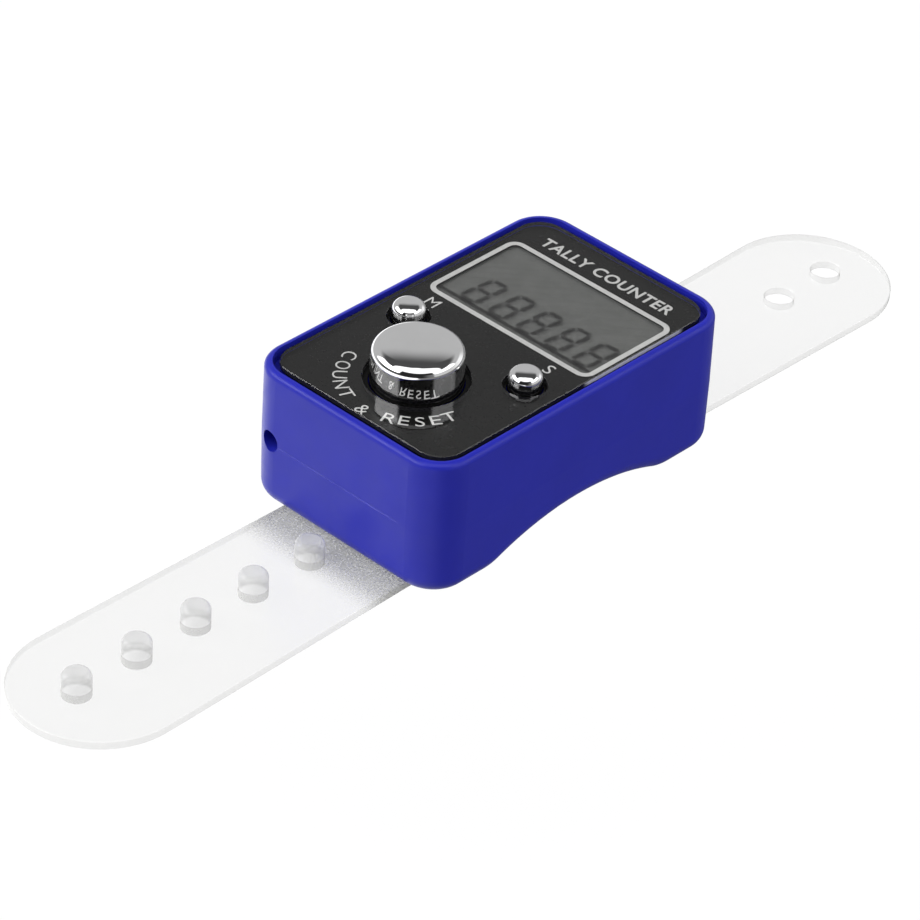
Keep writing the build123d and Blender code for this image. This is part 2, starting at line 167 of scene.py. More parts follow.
def rgba(c, k=1.0):
    return (c[0] * k, c[1] * k, c[2] * k, 1.0)


def finish_material(name, rgb, rough, spread=0.06, scale=260.0, rough_spread=0.06,
                    grain=0.0, grain_scale=9000.0, wave=0.0, wave_scale=500.0,
                    marks=0.0, **fixed):
    """A moulded, plated or rolled surface: slow colour and gloss variation, a fine grain and a slow waviness in the normal."""
    m = bpy.data.materials.new(name)
    m.use_nodes = True
    g = Graph(m.node_tree)
    slow = g.step(g.noise(scale, 4.0, 0.55), 0.3, 0.7)
    colour = g.mix(slow, rgba(rgb, 1.0 - spread), rgba(rgb, 1.0 + spread))
    gloss = g.step(g.noise(scale * 2.7, 3.0, 0.6), 0.25, 0.75, max(0.0, rough - rough_spread), rough + rough_spread)
    if marks:
        streak = g.node("ShaderNodeMapping")
        g.put(streak.inputs["Vector"], g.coords())
        streak.inputs["Rotation"].default_value = (0.0, 0.0, 0.6)
        streak.inputs["Scale"].default_value = (1.0, 14.0, 14.0)
        lines = g.step(g.noise(900.0, 2.0, 0.5, streak.outputs[0]), 0.62, 0.72, 0.0, marks)
        gloss = g.math("ADD", gloss, lines, clamp=True)
    sockets = dict(Base_Color=colour, Roughness=gloss)
    normal = None
    if wave:
        normal = g.bump(g.noise(wave_scale, 2.0, 0.4), wave, 0.0001)
    if grain:
        normal = g.bump(g.noise(grain_scale, 2.0, 0.6), grain, 0.00002, normal)
    if normal is not None:
        sockets["Normal"] = normal
    sockets.update(fixed)
    g.out(g.principled(**sockets).outputs[0])
    return m


def clear_material(name, tint, straight, haze=0.0, haze_rgb=(0.8, 0.8, 0.8), edge=0.0, rough=0.06):
    """A clear sheet: what lies behind shows through it, its faces mirror by Fresnel, and its cut edges are milky."""
    m = bpy.data.materials.new(name)
    m.use_nodes = True
    g = Graph(m.node_tree)
    through = g.node("ShaderNodeBsdfTransparent")
    cloud = g.noise(420.0, 4.0, 0.6)
    g.put(through.inputs["Color"], g.mix(cloud, rgba(tint, 0.985), rgba(tint, 1.0)))
    skin = g.principled(
        Base_Color=g.mix(cloud, rgba((0.97, 0.97, 0.97)), rgba((1.0, 1.0, 1.0))),
        Roughness=g.step(g.noise(1500.0, 3.0, 0.6), 0.3, 0.7, rough * 0.6, rough * 1.4),
        Metallic=1.0,
    )
    up = g.axes(g.normal())[2]
    shader = g.mix_shader(g.mirror(straight), through.outputs[0], skin.outputs[0])
    if haze or edge:
        milk = g.principled(
            Base_Color=g.mix(cloud, rgba(haze_rgb, 0.96), rgba(haze_rgb, 1.0)),
            Roughness=g.step(g.noise(3000.0, 2.0, 0.6), 0.3, 0.7, 0.3, 0.45),
        )
        face = g.step(g.math("ABSOLUTE", up), 0.35, 0.95, edge, haze)
        face = g.math("MULTIPLY", face, g.step(cloud, 0.2, 0.8, 0.75, 1.25), clamp=True)
        shader = g.mix_shader(face, shader, milk.outputs[0])
    g.out(shader)
    return m


BLUE = (0.0195, 0.0245, 0.445)
mats = {}
mats["case_blue"] = finish_material("case_blue", BLUE, 0.35, spread=0.04, scale=140.0, rough_spread=0.05,
                                    grain=0.22, grain_scale=11000.0, wave=0.05, wave_scale=420.0, marks=0.05, Specular_IOR_Level=0.27)
mats["face_black"] = finish_material("face_black", (0.0045, 0.0045, 0.0044), 0.30, spread=0.1, scale=300.0)
mats["face_black"].node_tree.nodes["Principled BSDF"].inputs["Specular IOR Level"].default_value = 0.06
mats["holder_white"] = finish_material("holder_white", (0.62, 0.61, 0.57), 0.5, grain=0.1)
mats["zebra_rubber"] = finish_material("zebra_rubber", (0.08, 0.08, 0.085), 0.7, grain=0.15, grain_scale=14000.0)
mats["board_green"] = finish_material("board_green", (0.012, 0.10, 0.035), 0.35, spread=0.12, scale=700.0, grain=0.25,
                                      grain_scale=4200.0)
mats["pad_gold"] = finish_material("pad_gold", (0.75, 0.52, 0.18), 0.25, Metallic=1.0)
mats["epoxy_black"] = finish_material("epoxy_black", (0.012, 0.012, 0.013), 0.3, grain=0.1, wave=0.1)
mats["can_tin"] = finish_material("can_tin", (0.62, 0.62, 0.60), 0.3, marks=0.15, Metallic=1.0)
mats["ceramic_tan"] = finish_material("ceramic_tan", (0.42, 0.28, 0.16), 0.55, grain=0.2)
mats["resistor_black"] = finish_material("resistor_black", (0.02, 0.02, 0.022), 0.45, grain=0.1)
mats["screw_steel"] = finish_material("screw_steel", (0.50, 0.50, 0.50), 0.28, marks=0.2, grain=0.1, Metallic=1.0)
mats["cell_steel"] = finish_material("cell_steel", (0.66, 0.66, 0.65), 0.24, marks=0.2, Metallic=1.0)
mats["contact_nickel"] = finish_material("contact_nickel", (0.62, 0.59, 0.53), 0.3, marks=0.2, Metallic=1.0)
mats["button_chrome"] = finish_material("button_chrome", (0.82, 0.82, 0.825), 0.035, spread=0.02, rough_spread=0.02,
                                        wave=0.012, wave_scale=300.0, marks=0.02, Metallic=1.0)
mats["dome_silicone"] = finish_material("dome_silicone", (0.55, 0.55, 0.53), 0.5, grain=0.15, Subsurface_Weight=0.2)
mats["dome_silicone"].node_tree.nodes["Principled BSDF"].inputs["Subsurface Scale"].default_value = 0.001
mats["pill_carbon"] = finish_material("pill_carbon", (0.018, 0.018, 0.019), 0.65, grain=0.2)
mats["lcd_reflector"] = finish_material("lcd_reflector", (0.42, 0.42, 0.41), 0.4, spread=0.05, scale=900.0, grain=0.2, Metallic=0.3)
mats["lcd_glass"] = finish_material("lcd_glass", (0.332, 0.334, 0.328), 0.35, spread=0.07, scale=520.0, rough_spread=0.08, grain=0.2,
                                    grain_scale=16000.0, Specular_IOR_Level=0.15)


def strap_material(name, pegs=False, contact=None):
    """Soft clear vinyl: slightly milky through its faces, more so in its rounded edges and in the pegs. The lower part
    of each peg is painted grey as shade, and next to the case a speckled grey painted shade stands in for the case's
    contact shadow.
    """
    m = bpy.data.materials.new(name)
    m.use_nodes = True
    g = Graph(m.node_tree)
    cloud = g.noise(420.0, 4.0, 0.6)
    fine = g.noise(5200.0, 3.0, 0.7)
    through = g.node("ShaderNodeBsdfTransparent")
    g.put(through.inputs["Color"], g.mix(cloud, rgba((0.985, 0.985, 0.985)), rgba((0.998, 0.998, 0.998))))
    skin = g.principled(
        Base_Color=g.mix(cloud, rgba((0.95, 0.95, 0.95)), rgba((1.0, 1.0, 1.0))),
        Roughness=g.step(g.noise(1500.0, 3.0, 0.6), 0.3, 0.7, 0.12, 0.26),
        Metallic=1.0,
    )
    clear = g.mix_shader(g.mirror(0.03), through.outputs[0], skin.outputs[0])
    place = g.axes(g.coords())
    up = g.axes(g.normal())[2]
    share = g.step(g.math("ABSOLUTE", up), 0.25, 0.98, 0.20, 0.055)
    share = g.math("MULTIPLY", share, g.step(cloud, 0.2, 0.8, 0.85, 1.15))
    colour = g.mix(cloud, rgba((0.71, 0.71, 0.68)), rgba((0.77, 0.77, 0.74)))
    if pegs:
        above = g.step(place[2], 1.03 * MM, 1.10 * MM)
        # painted shade: each peg's lower part is painted grey
        peg_foot_shade = g.math("MULTIPLY", above, g.step(place[2], 1.95 * MM, 2.10 * MM, 1.0, 0.0))
        share = g.math("ADD", share, g.math("MULTIPLY", above, 0.24), clamp=True)
        white = g.mix(cloud, rgba((0.86, 0.86, 0.86)), rgba((0.93, 0.93, 0.93)))
        colour = g.mix(above, colour, g.mix(peg_foot_shade, white, rgba((0.42, 0.42, 0.40))))
    if contact is not None:
        near, far = contact
        # painted shade: a speckled grey band on the strap beside the case, in place of the case's contact shadow
        contact_shade = g.step(place[1], far * MM, near * MM, 0.0, 0.66)
        contact_shade = g.math("MULTIPLY", contact_shade, g.step(place[1], (near + 2.5) * MM, (near + 4.5) * MM, 1.0, 0.0))
        contact_shade = g.math("MULTIPLY", contact_shade, g.step(place[2], 1.02 * MM, 1.15 * MM, 1.0, 0.0))
        contact_shade = g.math("MULTIPLY", contact_shade, g.step(fine, 0.35, 0.65, 0.35, 1.25), clamp=True)
        share = g.math("ADD", share, g.math("MULTIPLY", contact_shade, g.math("SUBTRACT", 1.0, share)), clamp=True)
        colour = g.mix(contact_shade, colour, rgba((0.34, 0.34, 0.30)))
    milk = g.principled(Base_Color=colour, Roughness=g.step(g.noise(3000.0, 2.0, 0.6), 0.3, 0.7, 0.3, 0.45), Specular_IOR_Level=0.2)
    g.out(g.mix_shader(share, clear, milk.outputs[0]))
    return m


def joint_material():
    """The faces where two lengths of the strap meet: the same vinyl, so nothing shows there."""
    m = bpy.data.materials.new("strap_join")
    m.use_nodes = True
    g = Graph(m.node_tree)
    through = g.node("ShaderNodeBsdfTransparent")
    g.put(through.inputs["Color"], g.mix(g.noise(420.0, 4.0, 0.6), rgba((0.995, 0.995, 0.995)), rgba((1.0, 1.0, 1.0))))
    g.out(through.outputs[0])
    return m


mats["strap_clear"] = strap_material("strap_clear")
mats["strap_peg_clear"] = strap_material("strap_peg_clear", pegs=True, contact=(-20.4, -25.2))
mats["strap_saddle_clear"] = strap_material("strap_saddle_clear", contact=(-20.4, -25.2))
mats["strap_join"] = joint_material()


def film_material():
    """Polarising film: a grey filter with a fine lengthwise draw in it."""
    m = bpy.data.materials.new("lcd_film")
    m.use_nodes = True
    g = Graph(m.node_tree)
    through = g.node("ShaderNodeBsdfTransparent")
    drawn = g.node("ShaderNodeMapping")
    g.put(drawn.inputs["Vector"], g.coords())
    drawn.inputs["Scale"].default_value = (1.0, 9.0, 1.0)
    lines = g.noise(500.0, 4.0, 0.6, drawn.outputs[0])
    g.put(through.inputs["Color"], g.mix(lines, rgba((0.80, 0.805, 0.80)), rgba((0.84, 0.845, 0.84))))
    skin = g.principled(Base_Color=g.mix(lines, rgba((0.05, 0.052, 0.05)), rgba((0.07, 0.072, 0.07))),
                        Roughness=g.step(lines, 0.3, 0.7, 0.4, 0.5))
    g.out(g.mix_shader(0.10, through.outputs[0], skin.outputs[0]))
    return m


mats["lcd_film"] = film_material()


def window_material():
    """Clear cast sheet. Its flat faces mirror by Fresnel and its cut edges are dark, but on the +x side beside the
    display the cut edge is painted pale: a painted light that stands in for the light the edge leads out.
    """
    m = bpy.data.materials.new("clear_sheet")
    m.use_nodes = True
    g = Graph(m.node_tree)
    through = g.node("ShaderNodeBsdfTransparent")
    cloud = g.noise(300.0, 3.0, 0.5)
    g.put(through.inputs["Color"], g.mix(cloud, rgba((0.975, 0.975, 0.975)), rgba((0.985, 0.985, 0.985))))
    skin = g.principled(
        Base_Color=g.mix(cloud, rgba((0.98, 0.98, 0.98)), rgba((1.0, 1.0, 1.0))),
        Roughness=g.step(g.noise(1200.0, 3.0, 0.6), 0.3, 0.7, 0.012, 0.03),
        Metallic=1.0,
    )
    up = g.axes(g.normal())[2]
    place = g.axes(g.coords())
    top_face = g.step(place[2], 16.1 * MM, 16.2 * MM)
    shader = g.mix_shader(g.math("MULTIPLY", g.mirror(0.032), top_face), through.outputs[0], skin.outputs[0])
    # painted light: a pale band on the +x cut edge beside the display, in place of light led out through the edge
    painted_light_band = g.band(place[1], 1.9 * MM, 15.6 * MM, 0.5 * MM)
    painted_light_band = g.math("MULTIPLY", painted_light_band, g.step(place[0], 11.2 * MM, 11.5 * MM))
    saw = g.node("ShaderNodeMapping")
    g.put(saw.inputs["Vector"], g.coords())
    saw.inputs["Scale"].default_value = (1.0, 1.0, 7.0)
    cut = g.noise(2600.0, 3.0, 0.6, saw.outputs[0])
    painted_edge_light = g.mix(cut, rgba((0.78, 0.78, 0.72)), rgba((0.92, 0.92, 0.86)))
    dark = g.mix(cut, rgba((0.010, 0.010, 0.012)), rgba((0.022, 0.022, 0.026)))
    edge = g.principled(
        Base_Color=g.mix(painted_light_band, dark, painted_edge_light),
        Roughness=g.step(cut, 0.3, 0.7, 0.22, 0.38),
        Normal=g.bump(cut, 0.2, 0.00003),
    )
    side = g.step(g.math("ABSOLUTE", up), 0.15, 0.45, 1.0, 0.0)
    g.out(g.mix_shader(side, shader, edge.outputs[0]))
    return m


mats["clear_sheet"] = window_material()
mats["ink_silver"] = finish_material("ink_silver", (0.60, 0.60, 0.59), 0.45, spread=0.05, scale=1500.0, grain=0.15)
mats["ink_white"] = finish_material("ink_white", (0.70, 0.70, 0.69), 0.5, spread=0.04, scale=1500.0, grain=0.15)
# the display's seal line: a grey clear ring that is also a painted shade along the display's edge
mats["lcd_seal_shade"] = clear_material("lcd_seal_shade", (0.93, 0.93, 0.93), 0.001)
mats["ghost_segment"] = clear_material("ghost_segment", (0.985, 0.985, 0.985), 0.001)

slot_of = {
    "top_shell": "case_blue", "bottom_shell": "case_blue", "face_window": "clear_sheet", "face_print": "face_black",
    "lcd_front_polariser": "lcd_film", "lcd_front_glass": "lcd_glass", "lcd_rear_glass": "lcd_glass",
    "lcd_reflector": "lcd_reflector", "lcd_holder": "holder_white", "zebra_strip": "zebra_rubber", "pcb": "board_green",
    "key_contact_pads": "pad_gold", "chip_on_board_blob": "epoxy_black", "timing_crystal": "can_tin",
    "chip_capacitors": "ceramic_tan", "chip_resistors": "resistor_black", "pcb_screws": "screw_steel",
    "case_screws": "screw_steel", "button_cell": "cell_steel", "battery_contact_negative": "contact_nickel",
    "battery_contact_positive": "contact_nickel", "count_button": "button_chrome", "mode_button": "button_chrome",
    "set_button": "button_chrome", "count_contact_pill": "pill_carbon", "mode_contact_pill": "pill_carbon",
    "set_contact_pill": "pill_carbon",
}
for name, slot in slot_of.items():
    o = nodes[name]
    if not o.material_slots:
        o.data.materials.append(mats[slot])
    for s in o.material_slots:
        s.material = mats[slot]


# ---------------------------------------------------------------- mesh helpers
def new_object(name, verts, faces, slot, smooth=math.radians(32)):
    """A mesh object from points in millimetres."""
    mesh = bpy.data.meshes.new(name)
    mesh.from_pydata([tuple(c * MM for c in v) for v in verts], [], faces)
    bm = bmesh.new()
    bm.from_mesh(mesh)
    bmesh.ops.recalc_face_normals(bm, faces=bm.faces)
    bm.to_mesh(mesh)
    bm.free()
    o = bpy.data.objects.new(name, mesh)
    bpy.context.scene.collection.objects.link(o)
    return dress(o, slot, smooth)


def dress(o, slot, smooth=math.radians(32)):
    o.data.materials.clear()
    o.data.materials.append(mats[slot])
    if smooth:
        for p in o.data.polygons:
            p.use_smooth = True
        o.data.set_sharp_from_angle(angle=smooth)
    return o


def lathe(name, profile, x, y, slot, seg=144, smooth=math.radians(32)):
    """A closed solid of revolution about the vertical line at x, y. profile is (radius, z) from axis to axis, or a closed ring off the axis."""
    verts, rings = [], []
    for r, z in profile:
        if r < 1e-6:
            rings.append([len(verts)])
            verts.append((x, y, z))
        else:
            rings.append(list(range(len(verts), len(verts) + seg)))
            for i in range(seg):
                a = 2 * math.pi * i / seg
                verts.append((x + r * math.cos(a), y + r * math.sin(a), z))
    faces = []
    closed = len(rings[0]) > 1
    pairs = list(zip(rings, rings[1:]))
    if closed:
        pairs.append((rings[-1], rings[0]))
    for a, b in pairs:
        if len(a) == 1 and len(b) == 1:
            continue
        for i in range(seg):
            j = (i + 1) % seg
            if len(a) == 1:
                faces.append((a[0], b[j], b[i]))
            elif len(b) == 1:
                faces.append((a[i], a[j], b[0]))
            else:
                faces.append((a[i], a[j], b[j], b[i]))
    return new_object(name, verts, faces, slot, smooth)


def rounded_rect(w, l, r, x=0.0, y=0.0, steps=10):
    pts = []
    for cx, cy, a0 in ((w / 2 - r, l / 2 - r, 0), (-w / 2 + r, l / 2 - r, 90), (-w / 2 + r, -l / 2 + r, 180), (w / 2 - r, -l / 2 + r, 270)):
        for i in range(steps + 1):
            a = math.radians(a0 + 90 * i / steps)
            pts.append((x + cx + r * math.cos(a), y + cy + r * math.sin(a)))
    return pts


def ring_prism(name, outer, inner, z0, z1, slot, crown=0.0):
    """A flat ring between two outlines with the same number of points; crown lifts its middle line."""
    n = len(outer)
    mid = [((a[0] + b[0]) / 2, (a[1] + b[1]) / 2) for a, b in zip(outer, inner)]
    verts = [(x, y, z0) for x, y in outer] + [(x, y, z1) for x, y in outer] + [(x, y, z1 + crown) for x, y in mid]
    verts += [(x, y, z1) for x, y in inner] + [(x, y, z0) for x, y in inner]
    faces = []
    for i in range(n):
        j = (i + 1) % n
        for k in range(5):
            a, b = k * n, ((k + 1) % 5) * n
            faces.append((a + i, a + j, b + j, b + i))
    return new_object(name, verts, faces, slot)


def joined(name, parts, slot, body, smooth=None):
    """One object from several (verts, faces) lists in millimetres."""
    verts, faces = [], []
    for v, f in parts:
        base = len(verts)
        verts += v
        faces += [tuple(i + base for i in face) for face in f]
    o = new_object(name, verts, faces, slot, smooth)
    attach(o, body)
    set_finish(o, "face_black" if slot.startswith("ink") else slot)
    return o


def prism(points, z0, z1):
    n = len(points)
    verts = [(x, y, z0) for x, y in points] + [(x, y, z1) for x, y in points]
    faces = [tuple(range(n - 1, -1, -1)), tuple(range(n, 2 * n))]
    faces += [(i, (i + 1) % n, n + (i + 1) % n, n + i) for i in range(n)]
    return verts, faces


def lettering(text, height, z0, z1, place, stretch=1.0, weight=0.0, spacing=1.0):
    """The plain built-in typeface as thin closed solids. place maps a point of the text, in millimetres with its middle at 0, 0, to x, y."""
    curve = bpy.data.curves.new("text", "FONT")
    curve.body = text
    curve.size = 1.0
    curve.align_x, curve.align_y = "LEFT", "BOTTOM_BASELINE"
    curve.extrude = 0.5
    curve.offset = weight
    curve.resolution_u = 5
    curve.space_character = spacing
    o = bpy.data.objects.new("text", curve)
    bpy.context.scene.collection.objects.link(o)
    bpy.context.view_layer.update()
    mesh = bpy.data.meshes.new_from_object(o.evaluated_get(bpy.context.evaluated_depsgraph_get()))
    bpy.data.objects.remove(o)
    bpy.data.curves.remove(curve)
    bm = bmesh.new()
    bm.from_mesh(mesh)
    bmesh.ops.remove_doubles(bm, verts=bm.verts, dist=1e-5)
    co = np.array([v.co[:] for v in bm.verts])
    lo, hi = co.min(0), co.max(0)
    k = height / 0.73  # capital height of the typeface
    mid = ((lo[0] + hi[0]) / 2, 0.365)
    verts = []
    for v in bm.verts:
        x, y = place((v.co.x - mid[0]) * k * stretch, (v.co.y - mid[1]) * k)
        verts.append((x, y, z1 if v.co.z > 0 else z0))
    bm.verts.index_update()
    faces = [tuple(v.index for v in f.verts) for f in bm.faces]
    bm.free()
    bpy.data.meshes.remove(mesh)
    return verts, faces


# ---------------------------------------------------------------- face: printed frame and legends
win_lo, win_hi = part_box("face_window")
print_lo, print_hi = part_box("face_print")
lcd_lo, lcd_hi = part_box("lcd_front_polariser")
Z_INK0, Z_INK1 = print_hi.z / MM + 0.002, win_lo.z / MM - 0.012
count_lo, count_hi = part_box("count_button")
KX, KY = (count_lo.x + count_hi.x) / 2 / MM, (count_lo.y + count_hi.y) / 2 / MM
LCD_X, LCD_Y = 0.0, 9.2

frame_ring = ring_prism("display_frame_print", rounded_rect(21.85, 13.1, 1.35, LCD_X, LCD_Y), rounded_rect(20.72, 11.97, 0.82, LCD_X, LCD_Y),
                        Z_INK0, Z_INK1, "ink_silver", 0.004)
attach(frame_ring, "case")
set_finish(frame_ring, "face_black")

# letter, angle about the key, shift in x and y, width
LEGEND = (("C", -164.5, -0.38, 0.09, 0.95), ("O", -150.2, -0.34, 0.08, 0.86), ("U", -136.8, -0.40, 0.09, 1.0), ("N", -123.6, -0.40, 0.09, 1.0),
          ("T", -111.0, -0.38, 0.09, 1.1), ("&", -90.5, 0.0, -0.09, 1.0), ("R", -69.0, 0.13, 0.24, 1.22), ("E", -56.0, -0.10, 0.27, 1.25),
          ("S", -43.6, -0.14, 0.24, 1.15), ("E", -31.4, -0.26, 0.35, 1.25), ("T", -19.0, -0.42, 0.32, 1.22))
parts = []
for char, angle, dx, dy, wide in LEGEND:
    a = math.radians(angle)
    up, right = (-math.cos(a), -math.sin(a)), (-math.sin(a), math.cos(a))
    cx, cy = KX + 7.17 * math.cos(a) + dx, KY + 7.17 * math.sin(a) + dy
    parts.append(lettering(char, 1.58, Z_INK0, Z_INK1,
                           lambda x, y: (cx + x * right[0] + y * up[0], cy + x * right[1] + y * up[1]),
                           stretch=wide, weight=-0.006))
joined("count_and_reset_legend", parts, "ink_white", "case")
joined("mode_legend", [lettering("M", 1.62, Z_INK0, Z_INK1, lambda x, y: (-8.42 + x, 1.25 + y), stretch=1.0, weight=-0.008)], "ink_white", "case")
joined("set_legend", [lettering("S", 1.55, Z_INK0, Z_INK1, lambda x, y: (7.35 + x, 1.35 + y), stretch=1.05, weight=-0.004)], "ink_white", "case")
joined("title_legend", [lettering("TALLY COUNTER", 1.55, Z_INK0, Z_INK1, lambda x, y: (x, 17.72 + y), stretch=0.98, weight=0.02, spacing=1.08)],
       "ink_silver", "case")

# display: seal line, drawn darker so that it is also a painted shade along the display's edge, and the resting segments
z_top = lcd_hi.z / MM
z_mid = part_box("lcd_front_glass")[0].z / MM
seal_shade_ring = ring_prism("display_seal_shade_line", rounded_rect(21.4, 12.6, 0.6, 0.0, LCD_Y + 0.95), rounded_rect(20.5, 11.7, 0.4, 0.0, LCD_Y + 0.95),
                  z_top + 0.004, z_top + 0.010, "lcd_seal_shade")
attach(seal_shade_ring, "case")
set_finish(seal_shade_ring, "lcd_film")


def segment(x0, y0, x1, y1, t):
    """A bar with pointed ends from one point to another."""
    dx, dy = x1 - x0, y1 - y0
    n = math.hypot(dx, dy)
    ux, uy = dx / n, dy / n
    px, py = -uy * t / 2, ux * t / 2
    g = t * 0.5
    x0, y0, x1, y1 = x0 + ux * 0.13, y0 + uy * 0.13, x1 - ux * 0.13, y1 - uy * 0.13
    return [(x0, y0), (x0 + ux * g + px, y0 + uy * g + py), (x1 - ux * g + px, y1 - uy * g + py), (x1, y1),
            (x1 - ux * g - px, y1 - uy * g - py), (x0 + ux * g - px, y0 + uy * g - py)]


parts = []
for i in range(5):
    cx, h, w, t = -6.55 + 3.78 * i, 2.2, 1.0, 0.52
    rows = ((-w, -h, w, -h), (-w, 0, w, 0), (-w, h, w, h), (-w, -h, -w, 0), (-w, 0, -w, h), (w, -h, w, 0), (w, 0, w, h))
    for x0, y0, x1, y1 in rows:
        pts = segment(x0, y0, x1, y1, t)
        parts.append(prism([(cx + x + 0.10 * y, 6.65 + y) for x, y in pts], z_top + 0.004, z_top + 0.010))
joined("display_segments", parts, "ghost_segment", "case")
bpy.data.objects["display_segments"]["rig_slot"] = "lcd_film"


# ---------------------------------------------------------------- keys
def arc(cx, cz, r, a0, a1, n):
    return [(cx + r * math.cos(math.radians(a0 + (a1 - a0) * i / n)), cz + r * math.sin(math.radians(a0 + (a1 - a0) * i / n))) for i in range(n + 1)]


def key(name, node, radius, shoulder, rim_slope, flange, underside=None):
    """A plated cap: a shallow crown that falls away to rim_slope degrees, then a round shoulder down to a straight side."""
    lo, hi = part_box(node)
    x, y, z0, zt = (lo.x + hi.x) / 2 / MM, (lo.y + hi.y) / 2 / MM, lo.z / MM, hi.z / MM
    cx = radius - shoulder
    inner = cx + shoulder * math.sin(math.radians(rim_slope))
    power = 2.6
    crown = inner * math.tan(math.radians(rim_slope)) / power
    top = [(inner * i / 30, zt - crown * (i / 30) ** power) for i in range(31)]
    cz = top[-1][1] - shoulder * math.cos(math.radians(rim_slope))
    profile = top[:-1] + arc(cx, cz, shoulder, 90 - rim_slope, 0, 26)
    profile += [(radius, z0 + 0.75), (flange - 0.08, z0 + 0.70), (flange, z0 + 0.62), (flange, z0 + 0.08), (flange - 0.08, z0)]
    profile += underside or [(0.0, z0)]
    o = lathe(name, profile, x, y, "button_chrome", seg=192, smooth=math.radians(40))
    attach(o, {"count_button": "count_key", "mode_button": "mode_key", "set_button": "set_key"}[node])
    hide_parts(node)
    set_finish(o, "button_chrome")
    return o


zk = count_lo.z / MM
key("count_key_cap", "count_button", 4.65, 1.2, 9.0, 5.6,
    [(3.75, zk), (3.75, 18.7), (3.55, 18.9), (1.7, 18.9), (1.5, 18.7), (1.5, zk), (0.0, zk)])
key("mode_key_cap", "mode_button", 1.73, 0.95, 10.0, 2.6)
key("set_key_cap", "set_button", 1.73, 0.95, 10.0, 2.6)


# ---------------------------------------------------------------- silicone springs under the keys
def spring(name, node, base_r, top_r, wall):
    lo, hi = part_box(node)
    x, y, z0, z1 = (lo.x + hi.x) / 2 / MM, (lo.y + hi.y) / 2 / MM, lo.z / MM, hi.z / MM
    outer, inner = [], []
    for i in range(13):
        t = i / 12
        s = t * t * (3 - 2 * t)
        outer.append((base_r - 0.7 + (top_r + 0.25 - base_r + 0.7) * s, z0 + 0.55 + (z1 - 0.35 - z0 - 0.55) * t))
        inner.append((base_r - 1.15 + (top_r - 0.35 - base_r + 1.15) * s, z0 + 0.45 + (z1 - wall - z0 - 0.45) * t))
    profile = [(0.0, z1 - wall)] + inner[::-1] + [(base_r - 0.8, z0)]
    profile += [(base_r - 0.06, z0), (base_r, z0 + 0.06), (base_r, z0 + 0.34), (base_r - 0.06, z0 + 0.4)]
    profile += outer + [(top_r + 0.1, z1 - 0.08), (top_r, z1), (0.0, z1)]
    o = lathe(name, profile, x, y, "dome_silicone", seg=72)
    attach(o, "case")
    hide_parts(node)
    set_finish(o, "dome_silicone")
    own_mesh(o)


spring("count_spring", "count_dome_spring", 4.6, 2.2, 0.5)
spring("mode_spring", "mode_dome_spring", 2.5, 1.25, 0.45)
spring("set_spring", "set_dome_spring", 2.5, 1.25, 0.45)


# ---------------------------------------------------------------- strap
YB, HALF, HALF_END, T, ROUND = 1.0, 8.45, 9.0, 1.0, 0.24
peg_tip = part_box("strap_peg_outer")[0].y / MM
hole_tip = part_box("strap_hole_outer")[1].y / MM
BEND = {"peg_1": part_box("strap_peg_inner")[1].y / MM, "peg_2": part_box("strap_peg_inner")[0].y / MM,
        "hole_1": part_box("strap_hole_inner")[0].y / MM, "hole_2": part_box("strap_hole_inner")[1].y / MM}


def half_width(y):
    t = min(1.0, max(0.0, (abs(y - YB) - 20.0) / 30.0))
    return HALF + t * (HALF_END - HALF)


def outline(y0, y1, inset, tip=None):
    """The strap's outline between y0 and y1 (away from the case), with a round end at tip."""
    s = 1 if y1 > y0 else -1
    ys = [y0 + (y1 - y0) * i / 24 for i in range(25)]
    if tip is not None:
        end = tip - s * HALF_END
        ys = [y0 + (end - y0) * i / 24 for i in range(25)]
    right = [(half_width(y) - inset, y) for y in ys]
    left = [(-x, y) for x, y in reversed(right)]
    round_end = []
    if tip is not None:
        r = HALF_END - inset
        for i in range(1, 48):
            a = math.pi * i / 48
            round_end.append((r * math.cos(a), end + s * r * math.sin(a)))
    return right + round_end + left


def plate(name, y0, y1, tip=None):
    levels = []
    for i in range(6):
        a = math.radians(90 * i / 5)
        levels.append((ROUND * (1 - math.sin(a)), ROUND * (1 - math.cos(a))))
    levels += [(inset, T - z) for inset, z in reversed(levels)]
    verts, faces = [], []
    loops = []
    for inset, z in levels:
        pts = outline(y0, y1, inset, tip)
        loops.append(list(range(len(verts), len(verts) + len(pts))))
        verts += [(x, y, z) for x, y in pts]
    n = len(loops[0])
    for a, b in zip(loops, loops[1:]):
        for i in range(n):
            j = (i + 1) % n
            faces.append((a[i], a[j], b[j], b[i]))
    faces.append(tuple(reversed(loops[0])))
    faces.append(tuple(loops[-1]))
    return new_object(name, verts, faces, "strap_clear")


def cut_or_add(o, other, operation):
    mod = o.modifiers.new("b", "BOOLEAN")
    mod.object, mod.operation, mod.solver = other, operation, "EXACT"
    bpy.context.view_layer.update()
    mesh = bpy.data.meshes.new_from_object(o.evaluated_get(bpy.context.evaluated_depsgraph_get()))
    o.modifiers.clear()
    old = o.data
    o.data = mesh
    bpy.data.meshes.remove(old)
    bpy.data.objects.remove(other)


def peg(y):
    r, h = 1.5, 2.8
    profile = [(0.0, T - 0.4), (r, T - 0.4), (r, T)] + [(r, T + h * 0.3)]
    profile += arc(r - 0.75, T + h - 0.75, 0.75, 0, 80, 8) + [(0.35, T + h), (0.0, T + h)]
    return lathe("peg", profile, 0.0, y, "strap_clear", seg=48)


def ramp(y):
    t = min(1.0, max(0.0, (11.0 - abs(y - YB)) / 7.7))
    return 2.05 * t * t * (3 - 2 * t)


